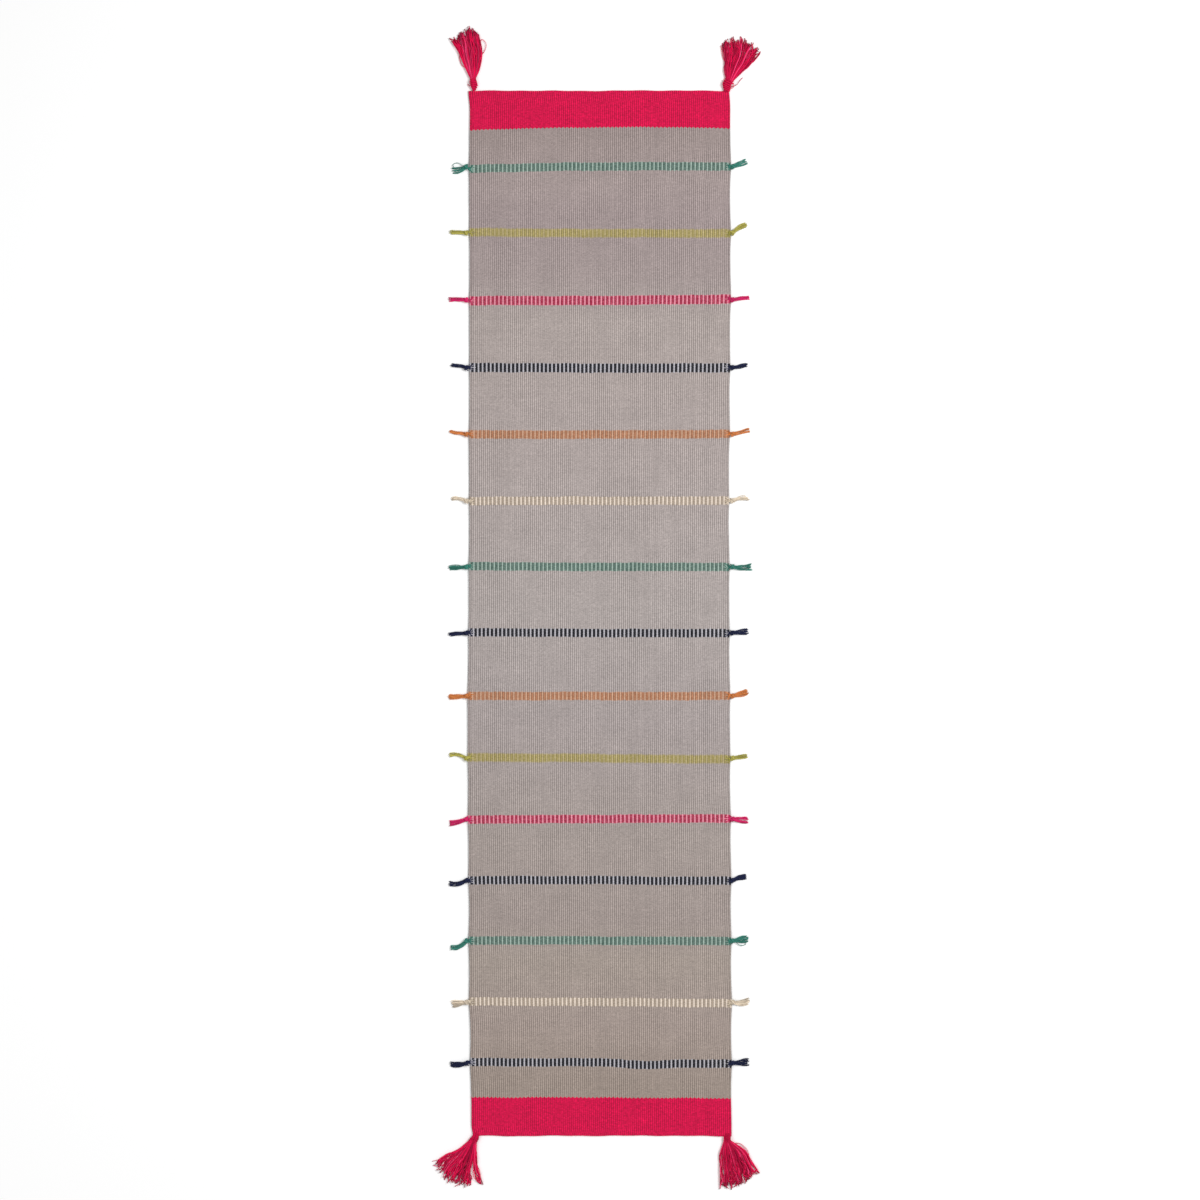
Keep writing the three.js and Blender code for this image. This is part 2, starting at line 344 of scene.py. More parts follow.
class Bundle:
    """Strands of two-ply yarn, gathered into one mesh."""

    def __init__(self, seed):
        self.draws = np.random.default_rng(seed)
        self.vertices, self.quads, self.triangles, self.strand, self.tint = [], [], [], [], []
        self.count = 0

    def add(self, path, radius, colour, reference=(0, 0, 1), sides=8, frayed=True, darker_tip=0.0):
        """One strand along the path. frayed opens its far end, and darker_tip darkens it towards that end."""
        path = np.asarray(path, float)
        steps = len(path)
        tangent = np.gradient(path, axis=0)
        tangent /= np.linalg.norm(tangent, axis=1)[:, None]
        side = np.cross(tangent, np.asarray(reference, float))
        side /= np.maximum(np.linalg.norm(side, axis=1), 1e-9)[:, None]
        up = np.cross(side, tangent)
        lengths = np.linalg.norm(np.diff(path, axis=0), axis=1)
        along = np.concatenate([[0], np.cumsum(lengths)])
        turn = 2 * math.pi * along / TWIST + self.draws.uniform(0, 2 * math.pi)
        angle = np.linspace(0, 2 * math.pi, sides, endpoint=False)
        lobes = np.maximum(np.abs(np.cos(angle[None, :] - turn[:, None])), PLY_WAIST)
        width = np.full(steps, radius)
        if frayed:
            width = radius * (1 + FRAY * np.clip(1 - (along[-1] - along) / (3 * radius), 0, 1))
        ring = lobes * width[:, None]
        points = (path[:, None, :] + side[:, None, :] * (np.cos(angle) * ring)[:, :, None]
                  + up[:, None, :] * (np.sin(angle) * ring)[:, :, None])
        index = self.count + np.arange(steps * sides).reshape(steps, sides)
        after = np.roll(index, -1, axis=1)
        around = np.stack([index[:-1], index[1:], after[1:], after[:-1]], -1)
        self.quads.append(around.reshape(-1, 4))
        first, last = self.count + steps * sides, self.count + steps * sides + 1
        centre = np.full(sides, first)
        self.triangles.append(np.stack([centre, index[0], after[0]], -1))
        self.triangles.append(np.stack([centre + 1, after[-1], index[-1]], -1))
        ends = np.stack([path[0] - tangent[0] * radius * 0.3, path[-1] + tangent[-1] * radius * 0.5])
        self.vertices.append(np.concatenate([points.reshape(-1, 3), ends]))
        fibre = np.stack([np.repeat(along / MM, sides), (angle[None, :] - turn[:, None]).ravel(),
                          np.full(steps * sides, self.draws.uniform(0, 50))], -1)
        self.strand.append(np.concatenate([fibre, fibre[[0, -1]]]))
        shade = 1 - darker_tip * np.clip(1 - (along[-1] - along) / DARK_TIP_REACH, 0, 1)
        shade = np.concatenate([np.repeat(shade, sides), shade[[0, -1]]])
        self.tint.append(shade[:, None] * np.asarray(linear(colour)[:3]))
        self.count = last + 1

    def arrays(self):
        return tuple(np.concatenate(part) for part in (
            self.vertices, self.quads, self.triangles, self.strand, self.tint))

    def object(self, name, material):
        vertices, quads, triangles, strand, tint = self.arrays()
        return make_object(name, vertices, [quads, triangles], [material],
                           {"strand": strand, "tint": tint})


def smooth(share):
    share = np.clip(share, 0, 1)
    return share * share * (3 - 2 * share)


def varied(colour, draws, spread=0.1):
    """The colour, a little lighter or darker."""
    return np.clip(np.array(colour) * (1 + draws.uniform(-spread, spread)), 0, 255)


def plan_axes(direction):
    """A flat direction as a unit vector, and the unit vector to its left."""
    forward = np.array([direction[0], direction[1], 0.0])
    forward /= np.linalg.norm(forward)
    return forward, np.array([-forward[1], forward[0], 0.0])


def tip_of(node, pivot):
    """Where a tuft's far end lies in plan, from its CAD node: the direction to it from the pivot,
    the direction to the left of that, how far off it is, and how wide."""
    points = np.array([v.co for v in frame["nodes"][node].data.vertices])
    away = points[:, :2] - pivot[:2]
    distance = np.linalg.norm(away, axis=1)
    far = points[distance > 0.86 * distance.max()]
    forward, left = plan_axes(far.mean(0) - pivot)
    aside = (far - pivot) @ left
    return forward, left, float(((far - pivot) @ forward).max()), float(aside.max() - aside.min())


# ---- Materials ----
BAR_HALF = 0.59                    # half a pattern bar's width, in ribs
BAR_SWELL, SWELL_LENGTH = 0.07, 5.6   # how far it swells and pinches, in ribs, and how often, in mm
BAR_EDGE = 0.06                    # how softly its sides end, in ribs
BAR_ENDS = (-1.2, 0.4)             # how much shorter or longer single bars are, in mm


class Shader:
    """A node material, written as short calls. An input is a number, a colour or a socket."""

    def __init__(self, name):
        self.material = bpy.data.materials.new(name)
        self.material.use_nodes = True
        self.tree = self.material.node_tree
        self.surface = self.tree.nodes["Principled BSDF"]

    def put(self, socket, value):
        if isinstance(value, bpy.types.NodeSocket):
            self.tree.links.new(value, socket)
        else:
            socket.default_value = value

    def set(self, name, value):
        self.put(self.surface.inputs[name], value)

    def node(self, kind, inputs=(), output=0, **settings):
        made = self.tree.nodes.new(kind)
        for key, value in settings.items():
            setattr(made, key, value)
        for key, value in dict(inputs).items():
            self.put(made.inputs[key], value)
        return made.outputs[output]

    def math(self, operation, a, b=0.0, c=0.0):
        return self.node("ShaderNodeMath", {0: a, 1: b, 2: c}, operation=operation)

    def times(self, a, b):
        return self.math("MULTIPLY", a, b)

    def plus(self, a, b):
        return self.math("ADD", a, b)

    def minus(self, a, b):
        return self.math("SUBTRACT", a, b)

    def remap(self, value, low, high, to_low=0.0, to_high=1.0):
        return self.node("ShaderNodeMapRange", {
            "Value": value, "From Min": low, "From Max": high, "To Min": to_low, "To Max": to_high})

    def attribute(self, name):
        split = self.node("ShaderNodeSeparateXYZ", {0: self.node(
            "ShaderNodeAttribute", output="Vector", attribute_name=name)})
        return split.node.outputs

    def vector(self, x, y, z=0.0):
        return self.node("ShaderNodeCombineXYZ", {0: x, 1: y, 2: z})

    def plane(self, rib, along, per_rib, per_millimetre):
        """A place in the weave, stretched for a noise: cells per rib and per millimetre."""
        return self.vector(self.times(rib, per_rib), self.times(along, per_millimetre))

    def noise(self, vector, detail=2.0):
        return self.node("ShaderNodeTexNoise", {"Vector": vector, "Scale": 1.0, "Detail": detail})

    def speckle(self, x, y, z=0.0):
        """A value from 0 to 1 that differs from cell to cell."""
        return self.node("ShaderNodeTexWhiteNoise", {"Vector": self.vector(x, y, z)})

    def cells(self, value):
        """How far into its cell a value is, and the cell's number."""
        return self.math("FRACT", value), self.math("FLOOR", value)

    def mix(self, share, a, b, blend="MIX"):
        made = self.tree.nodes.new("ShaderNodeMix")
        made.data_type, made.blend_type = "RGBA", blend
        self.put(made.inputs["Factor"], share)
        for socket, value in zip([s for s in made.inputs if s.type == "RGBA"], (a, b)):
            self.put(socket, value)
        return next(s for s in made.outputs if s.type == "RGBA")

    def emboss(self, height, strength, distance):
        self.set("Normal", self.node("ShaderNodeBump", {
            "Strength": strength, "Distance": distance, "Height": height}))

    def shade(self, colour, amount):
        """The colour times a grey amount, given as a socket."""
        return self.mix(1.0, colour, self.vector(amount, amount, amount), "MULTIPLY")

    def ramp(self, value, stops):
        made = self.tree.nodes.new("ShaderNodeValToRGB")
        elements = made.color_ramp.elements
        elements[0].position, elements[0].color = stops[0]
        elements[1].position, elements[1].color = stops[-1]
        for position, colour in stops[1:-1]:
            elements.new(position).color = colour
        self.put(made.inputs[0], value)
        return made.outputs[0]


def cotton(shader, roughness=0.92, sheen=0.03):
    shader.set("Roughness", roughness)
    shader.set("Specular IOR Level", 0.2)
    shader.set("Sheen Weight", sheen)
    shader.set("Sheen Roughness", 0.6)


def weave_material(name, plain=None, bars=None, between=None, feather=FEATHER, taller=0.0, wear=WEAR):
    """Ribbed weft-faced weave. plain is a solid colour, and None the grey ground with its fade.
    bars and between are the two colours of a pattern stripe in that ground, feather how far its
    edges blend and taller how much longer its bars are, in millimetres, and wear how much of the
    second colour shows through the first."""
    shader = Shader(name)
    rib, along, across_stripe = shader.attribute("weave")
    rib_share, rib_number = shader.cells(rib)
    odd = shader.math("MODULO", rib_number, 2.0)
    crest = shader.math("SINE", shader.times(rib_share, math.pi))
    slip = shader.noise(shader.plane(rib, along, 0.6, 0.02))
    picks = shader.plus(shader.math("DIVIDE", along, PICK / MM), shader.times(odd, 0.5))
    picks = shader.plus(picks, shader.times(slip, 3.0))
    pick_share, pick_number = shader.cells(picks)
    pick_crest = shader.math("SINE", shader.times(pick_share, math.pi))
    stitch = shader.speckle(rib_number, pick_number)
    rib_tone = shader.speckle(rib_number, 3.5)
    cloud = shader.noise(shader.plane(rib, along, 0.09, 0.019))
    streak = shader.noise(shader.plane(rib, along, 0.02, 0.16))
    grain = shader.noise(shader.plane(rib, along, 0.9, 0.22), 3.0)
    fibre = shader.noise(shader.plane(rib, along, 14.0, 9.0), 3.0)

    depth = 1.0
    if plain is None:
        low, high = GROUND_FADE[-1][0] / MM, GROUND_FADE[0][0] / MM
        stops = [((place / MM - low) / (high - low), linear(colour))
                 for place, colour in reversed(GROUND_FADE)]
        colour = shader.ramp(shader.remap(along, low, high), stops)
    else:
        depth = 1.7
        colour = shader.mix(shader.remap(streak, 0.3, 0.7), linear(plain),
                            linear([0.94 * part for part in plain]))
    if bars is not None:
        end = shader.speckle(rib_number, shader.math("SIGN", across_stripe), 7.0)
        longest = STRIPE_HALF / MM + taller
        reach = shader.remap(end, 0.0, 1.0, longest + BAR_ENDS[0], longest + BAR_ENDS[1])
        inside = shader.minus(reach, shader.math("ABSOLUTE", across_stripe))
        rough = shader.plus(inside, shader.remap(fibre, 0.3, 0.7, -feather, feather))
        in_stripe = shader.remap(rough, -feather, feather)
        # A bar stands on every second rib; its sides swell and pinch as its weft crosses the ribs.
        nearest = shader.math("MODULO", shader.plus(rib, 1.5), 2.0)
        off_bar = shader.math("ABSOLUTE", shader.minus(nearest, 1.0))
        swell = shader.math("SINE", shader.plus(
            shader.times(across_stripe, 2 * math.pi / SWELL_LENGTH), shader.times(rib_number, 1.9)))
        half_bar = shader.plus(BAR_HALF, shader.times(swell, BAR_SWELL))
        half_bar = shader.minus(half_bar, shader.remap(inside, 0.0, 2.0, 0.16, 0.0))
        on_bar = shader.remap(shader.minus(half_bar, off_bar), -BAR_EDGE, BAR_EDGE)
        worn = shader.remap(grain, 0.35, 0.7, 0.0, wear)
        pattern = shader.mix(on_bar, linear(between), shader.mix(worn, linear(bars), linear(between)))
        colour = shader.mix(in_stripe, colour, pattern)

    # Painted light and shade: the rib crests are painted lighter, and the rib valleys, the grooves between picks
    # and the outermost ribs at the selvedges darker. The tone also varies at random by stitch.
    tone = shader.remap(crest, 0.0, 0.75, 0.52, 1.1)
    for value, spread in ((stitch, 0.1 * depth), (rib_tone, 0.035), (cloud, 0.1), (streak, 0.07),
                          (grain, 0.24 * depth), (fibre, 0.12 * depth)):
        tone = shader.times(tone, shader.remap(value, 0.0, 1.0, 1 - spread, 1 + spread))
    # Painted shade in the grooves between picks.
    tone = shader.times(tone, shader.remap(pick_crest, 0.0, 0.8, 0.88, 1.03))
    # Painted shadow along the outermost ribs at each selvedge.
    selvedge = shader.math("MINIMUM", rib, shader.minus(RIBS, rib))
    tone = shader.times(tone, shader.remap(selvedge, 0.2, 1.8, 0.84, 1.0))
    shader.set("Base Color", shader.shade(colour, tone))

    height = shader.plus(shader.times(pick_crest, 0.7), shader.times(fibre, 0.5))
    shader.emboss(height, 0.7, 0.35 * MM)
    cotton(shader)
    return shader.material


def yarn_material(name):
    """Twisted cotton: each strand's own colour, with fibres that follow the twist."""
    shader = Shader(name)
    tint = shader.node("ShaderNodeAttribute", output="Vector", attribute_name="tint")
    along, around, number = shader.attribute("strand")
    fibre = shader.noise(shader.vector(
        shader.times(along, 0.7), shader.times(around, 2.5), number), 3.0)
    slub = shader.noise(shader.vector(shader.times(along, 0.12), number), 1.0)
    tone = shader.times(shader.remap(fibre, 0.25, 0.75, 0.86, 1.12),
                       shader.remap(slub, 0.3, 0.7, 0.9, 1.08))
    shader.set("Base Color", shader.shade(tint, tone))
    shader.emboss(fibre, 0.6, 0.25 * MM)
    cotton(shader, 0.9, 0.015)
    return shader.material


# ---- The cloth ----
def build_ground():
    edges = sorted([HEAD_SEAM, FOOT_SEAM] + [
        middle + side * (STRIPE_HALF + STRIPE_MARGIN) for middle in stripe_middles for side in (-1, 1)])
    fine = [(FOLD_Y, FOLD_HALF), (HEAD_SEAM, SCALLOP_REACH), (FOOT_SEAM, SCALLOP_REACH)]
    panels = []
    for low, high in zip(edges[::2], edges[1::2]):
        panels.append(ribbed_panel(rows_between(low, high, ROW_STEP, fine)))
    vertices, faces, weave, flat = joined(panels)
    ground = make_object("ground_cloth", vertices, [faces], [weave_material("ground weave")],
                         {"weave": weave}, flat)
    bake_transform(ground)
    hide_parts("ground_head", "ground_foot")
    return ground


def build_stitch():
    """The tail of the head-left tassel's tie, drawn back along a valley of the band's ribs."""
    tie = np.array(joints["tassel_swing_head_left"]["pos_m"])
    valley = round((tie[0] + HALF_WIDTH) / (2 * HALF_WIDTH) * RIBS)
    steps, reach = 16, 26 * MM
    y = np.linspace(HEAD_END + MM, HEAD_END - reach, steps)
    x, y, _ = warp(np.full(steps, float(valley)), y)
    stitch = Bundle(77)
    level = np.linspace(THICKNESS - 0.2 * MM, THICKNESS - 0.5 * MM, steps)
    stitch.add(np.stack([x, y, level], -1), 0.8 * MM, 0.7 * np.array(CRIMSON_YARN))
    made = stitch.object("tassel_tie_head_left", yarn_cotton)
    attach(made, "head_half")
    return made


def build_band(name, low, high, body):
    hem = low if low < 0 else high
    fine = [(HEAD_SEAM, SCALLOP_REACH), (FOOT_SEAM, SCALLOP_REACH)]
    rows = rows_between(low, high, BAND_STEP, fine)
    inward = -math.copysign(1, hem)
    rows = np.unique(np.concatenate([rows, hem + inward * HEM_ROUND * np.array(HEM_ROWS)]))
    vertices, faces, weave, flat = ribbed_panel(rows, hem=hem)
    band = make_object(name + "_cloth", vertices, [faces], [crimson_weave], {"weave": weave}, flat)
    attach(band, body)
    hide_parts(name)
    return band


def body_with(node):
    return next(body for body, nodes in bodies.items() if node in nodes)


def build_stripe(number, node):
    yarn = node.split("_")[2]
    bars, between, loose = YARNS[yarn]
    middle = stripe_middles[number - 1]
    reach = STRIPE_HALF + STRIPE_MARGIN
    rows = rows_between(middle - reach, middle + reach, STRIPE_STEP)
    vertices, faces, weave, flat = ribbed_panel(rows, middle)
    ties = tie_strands(number, loose, between)
    tie_vertices, quads, triangles, strand, tint = ties.arrays()
    count = len(vertices)
    attributes = {
        "weave": np.concatenate([weave, np.zeros((len(tie_vertices), 3))]),
        "strand": np.concatenate([np.zeros((count, 3)), strand]),
        "tint": np.concatenate([np.zeros((count, 3)), tint]),
    }
    extra = len(quads) + len(triangles)
    slots = np.concatenate([np.zeros(len(faces)), np.ones(extra)])
    striped_weave = weave_material(
        node + " weave", None, bars, between,
        FEATHERS.get(yarn, FEATHER), TALLER.get(node, 0.0), WEARS.get(yarn, WEAR))
    stripe = make_object(
        node + "_cloth", np.concatenate([vertices, tie_vertices]),
        [faces, quads + count, triangles + count], [striped_weave, yarn_cotton], attributes,
        np.concatenate([flat, np.zeros(extra, bool)]), slots)
    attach(stripe, body_with(node))
    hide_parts(node)
    return stripe


TIE_YARN = 1.05 * MM
TIE_PLACES = (-0.95, -0.65, -0.35, 0.0, 0.35, 0.65, 0.95)   # strands, as shares of TIE_HALF
TIE_HALF = 8 * MM                  # half the length of selvedge that the strands come from
GATHER_OUT = 7.5 * MM              # from a tuft's pivot back to the knot that gathers its strands


def tie_strands(number, colour, between):
    """The yarn of both tufts where it is drawn through the stripe's ends and gathered at the
    selvedge, with the colour of the stripe's ribs between on every second strand."""
    ties = Bundle(900 + number)
    draws = ties.draws
    for side_name, side in (("left", -1), ("right", 1)):
        pivot = np.array(joints[f"tuft_swing_{number:02d}_{side_name}"]["pos_m"])
        u_edge = 0.0 if side < 0 else float(RIBS)
        for k, share in enumerate(TIE_PLACES):
            inward = 2.8 - 1.0 * abs(share) + draws.uniform(-0.5, 0.5)
            own = between if k % 2 else colour
            crossing = share * draws.choice((1, 1, -0.5))
            x, y, _ = warp(np.array([u_edge - side * inward, u_edge - side * 0.6]),
                           np.array([pivot[1] + share * TIE_HALF, pivot[1] + crossing * 3.6 * MM]))
            stops = np.array([
                [x[0] - side * MM, y[0], THICKNESS - 1.6 * MM],
                [x[0] + side * MM, y[0], THICKNESS + 0.2 * MM],
                [x[1], y[1], THICKNESS + 0.7 * MM],
                [pivot[0] - side * 2.5 * MM, pivot[1] + crossing * 2.2 * MM, pivot[2] + 0.5 * MM],
            ])
            ties.add(spline(stops, 16), TIE_YARN, varied(own, draws, 0.15))
        outward, along = np.array([side, 0, 0.0]), np.array([0, 1.0, 0])
        _, gather_y, _ = warp(u_edge, pivot[1])
        gather = np.array([pivot[0] - side * GATHER_OUT, gather_y, THICKNESS + 1.2 * MM])
        add_knot(ties, gather, outward, along, colour,
                 half_width=4.4 * MM, half_height=1.8 * MM, length=6 * MM, turns=2.3, yarn=1.25 * MM)
    return ties


def spline(stops, count):
    """A smooth line through a few points (Catmull-Rom), at even steps."""
    points = np.vstack([2 * stops[0] - stops[1], stops, 2 * stops[-1] - stops[-2]])
    place = np.linspace(0, len(stops) - 1 - 1e-9, count)
    index = place.astype(int)
    t = (place - index)[:, None]
    a, b, c, d = (points[index + k] for k in range(4))
    bend, turn = 2 * a - 5 * b + 4 * c - d, 3 * b - a - 3 * c + d
    return 0.5 * (2 * b + (c - a) * t + bend * t ** 2 + turn * t ** 3)


# ---- Side tufts ----
TUFT_YARN = 1.2 * MM
OPEN_TUFT = 13 * MM                # a tuft that spreads wider than this holds more strands
TUFT_STEPS = 26                    # points along a strand
TUFT_NARROW = 3.2 * MM             # half its width at the knot
TUFT_LAYER = 2.0 * MM              # between its three layers of strands
# How single tufts differ: their sideways arch in millimetres towards the head end, and loops of
# yarn that stand off the bundle, as shares of its length: how far along and how far aside.
TUFT_ARCH = {
    "01_left": -3, "02_right": 2, "04_left": 2, "06_left": 2, "06_right": 3, "07_right": -2,
    "10_left": 4, "11_left": -2, "12_left": -4, "12_right": 2, "13_left": -5, "14_right": -3,
    "15_left": -2,
}
TUFT_LOOPS = {
    "01_left": (0.88, 0.42), "03_right": (0.95, 0.08), "04_right": (0.95, 0.14),
    "06_right": (0.8, 0.22), "07_left": (0.98, 0.16), "12_left": (0.62, -0.2),
    "12_right": (0.98, 0.2), "13_right": (0.8, -0.35),
}
# Tufts whose yarn falls apart into this many locks towards its tip.
TUFT_LOCKS = {
    "01_left": 3, "01_right": 3, "05_right": 2, "06_right": 2, "07_right": 4, "08_right": 3,
    "10_right": 2, "11_right": 2, "12_left": 3,
}


def build_tuft(number, side_name, colour):
    name = f"{number:02d}_{side_name}"
    node = "tuft_" + name
    pivot = np.array(joints["tuft_swing_" + name]["pos_m"])
    forward, left, length, spread = tip_of(node, pivot)
    towards_head = left if left[1] > 0 else -left
    arch = TUFT_ARCH.get(name, 0) * MM * float(towards_head @ left)
    tuft = Bundle(300 + 2 * number + (side_name == "right"))
    draws = tuft.draws
    count = 14 if spread > OPEN_TUFT else 11
    locks = TUFT_LOCKS.get(name, 1)
    shares = np.linspace(-1, 1, count) + draws.uniform(-0.12, 0.12, count)
    for k, share in enumerate(shares):
        own = length * draws.uniform(0.87, 1.03)
        s = np.linspace(-2 * MM, own, TUFT_STEPS)
        t = np.clip(s / own, 0, 1)
        opened = smooth(t * 1.3)
        layer = (k % 3) * TUFT_LAYER
        lock = min(int((share + 1) / 2 * locks), locks - 1)
        home = (2 * lock + 1) / locks - 1
        tip = share
        if locks > 1:
            tip = home + 0.5 * (share - home) + 0.1 / locks * draws.uniform(-1, 1)
        share_here = share * (1 - opened) + tip * opened
        aside = share_here * ((1 - opened) * TUFT_NARROW + opened * (spread / 2 - 1.1 * TUFT_YARN))
        wave = draws.uniform(0.4, 1.3) * MM * np.sin(
            2 * math.pi * (t * draws.uniform(0.8, 1.7) + draws.uniform()))
        aside = aside + wave * t + arch * 4 * t * (1 - t)
        lying = TUFT_YARN + layer * (1 - 0.4 * t) + draws.uniform(0, 0.6) * MM
        height = (pivot[2] + draws.uniform(-1.6, 1.6) * MM) * (1 - opened) + lying * opened
        height = np.maximum(height, TUFT_YARN)
        path = pivot * [1, 1, 0] + s[:, None] * forward + aside[:, None] * left
        path[:, 2] = height
        tuft.add(path, TUFT_YARN * draws.uniform(0.85, 1.1), varied(colour, draws, 0.16))
    if name in TUFT_LOOPS:
        out, off = TUFT_LOOPS[name]
        aside = off * length * towards_head
        stops = np.array([
            pivot + forward * 4 * MM,
            pivot + forward * length * out * 0.55 + aside,
            pivot + forward * length * out + aside * 0.9,
            pivot + forward * length * (out - 0.12) + aside * 0.15,
        ])
        stops[1:, 2] = 3.2 * MM
        tuft.add(spline(stops, TUFT_STEPS), TUFT_YARN * 0.75, varied(colour, draws))
    add_knot(tuft, pivot - forward * 0.5 * MM, forward, left, colour,
             half_width=6.4 * MM, half_height=3.9 * MM, length=9 * MM, turns=3.4, yarn=1.6 * MM)
    made = tuft.object(node + "_yarn", yarn_cotton)
    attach(made, node)
    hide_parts(node)
    return made


def add_knot(bundle, centre, forward, left, colour, half_width, half_height, length, turns, yarn):
    """Yarn wound round a bundle: slanted turns that pile up towards their middle, and one that
    crosses over them."""
    t = np.linspace(0, 1, int(24 * turns))
    angle = 2 * math.pi * turns * t
    pile = 0.86 + 0.14 * np.sin(math.pi * t)
    up = np.array([0, 0, 1.0])
    slant = 0.16 * length * np.cos(angle)
    path = (centre + ((t - 0.5) * (length - 2 * yarn) + slant)[:, None] * forward
            + ((half_width - yarn) * pile * np.cos(angle))[:, None] * left
            + ((half_height - yarn * 0.2) * pile * np.sin(angle))[:, None] * up)
    bundle.add(path, yarn, varied(colour, bundle.draws), reference=forward, frayed=False)
    t = np.linspace(-0.1, 0.62, 18)
    angle = math.pi * t + 0.35
    over = (centre + ((t - 0.26) * 1.5 * length)[:, None] * forward
            + ((half_width - yarn * 0.4) * np.cos(angle))[:, None] * left
            + ((half_height + yarn * 0.7) * np.sin(angle))[:, None] * up)
    bundle.add(over, yarn * 0.95, varied(colour, bundle.draws), reference=forward, frayed=False)


# ---- Corner tassels ----
TASSEL_YARN = 1.15 * MM
STRANDS = 140
LOCKS = 17                         # strands of a skirt hang together in this many locks
GUIDE_STEPS = 64                   # points along a skirt's guide lines
STRAND_STEPS = 58                  # points along one of its strands
KNOT_STRANDS = 34
KNOT_STEPS = 24
KNOT_YARN = 1.25 * MM
WOUND_YARN, WOUND_TURNS = 1.7 * MM, 5
NECK_AWAY = 19                     # loose strands that start nearer the cloth belong to the knot, mm
# Each tassel as it lies, in millimetres outward from the selvedge's line and away from the
# cloth's end: the knot's stations as (outward, away, half its width), then the skirt's side
# towards the rug, its middle and its outer side, each from the neck to the cut ends. Partings
# are where the strands divide, from -1 on the rug's side to 1, and how far. Last come loose
# strands, whose first point is on the bundle.
TASSELS = {
    "head_left": {
        "knot": [(-11, 0, 2.5), (-11, 6, 6), (-11, 13, 9.5), (-10, 20, 9), (-9.5, 27, 7)], "wound": True,
        "inner": [(-15, 27), (-25, 54), (-29, 92), (-20, 135)],
        "middle": [(-9.5, 27), (-5, 60), (0, 100), (9, 140)],
        "outer": [(-4, 27), (9, 54), (23, 88), (41, 118)],
        "partings": [(0.66, 0.05), (-0.1, 0.04)],
        "loose": [[(-24, 76), (-36, 92), (-39, 108), (-30, 118), (-24, 108)],
                  [(8, 52), (17, 60), (22, 76), (20, 90)], [(-8, 12), (-1, 11), (3, 15)]],
    },
    "head_right": {
        "knot": [(-8, 0, 8), (-8, 6, 10), (-8, 12, 11), (-5, 19, 11), (0, 25, 11)], "wound": True,
        "inner": [(-9, 25), (-13, 50), (-13, 80), (-19, 110)],
        "middle": [(1, 25), (10, 52), (20, 82), (24, 118)],
        "outer": [(10, 25), (30, 44), (52, 66), (71, 91)],
        "partings": [(-0.35, 0.08), (0.3, 0.05)],
        "loose": [[(0, 8), (14, 12), (22, 22), (29, 30)], [(-2, 4), (6, 6), (9, 12), (8, 18)],
                  [(-10, 60), (-17, 80), (-21, 104)]],
    },
    "foot_left": {
        "knot": [(-17, 0, 8), (-15.5, 6, 9.5), (-12, 12, 10.5), (-8, 18, 11.5)], "wound": False,
        "inner": [(-17, 18), (-17, 50), (-19, 80), (-28, 112)],
        "middle": [(-6, 18), (8, 48), (24, 78), (36, 112)],
        "outer": [(4, 18), (26, 35), (56, 49), (78, 70)],
        "partings": [(-0.74, 0.2), (0.2, 0.04), (0.75, 0.05)],
        "loose": [[(30, 50), (52, 50), (70, 58), (84, 62)], [(-16, 66), (-24, 84), (-27, 104)]],
    },
    "foot_right": {
        "knot": [(-6, 0, 9), (-6, 6, 9.5), (-6, 12, 9.5), (-4, 18, 10.5)], "wound": False,
        "inner": [(-15, 18), (-23, 46), (-21, 84), (-21, 122)],
        "middle": [(-4, 18), (8, 50), (18, 84), (23, 115)],
        "outer": [(7, 18), (33, 36), (49, 62), (65, 88)],
        "partings": [(-0.5, 0.09)],
        "loose": [[(10, 20), (24, 22), (38, 34), (44, 48)]],
    },
}


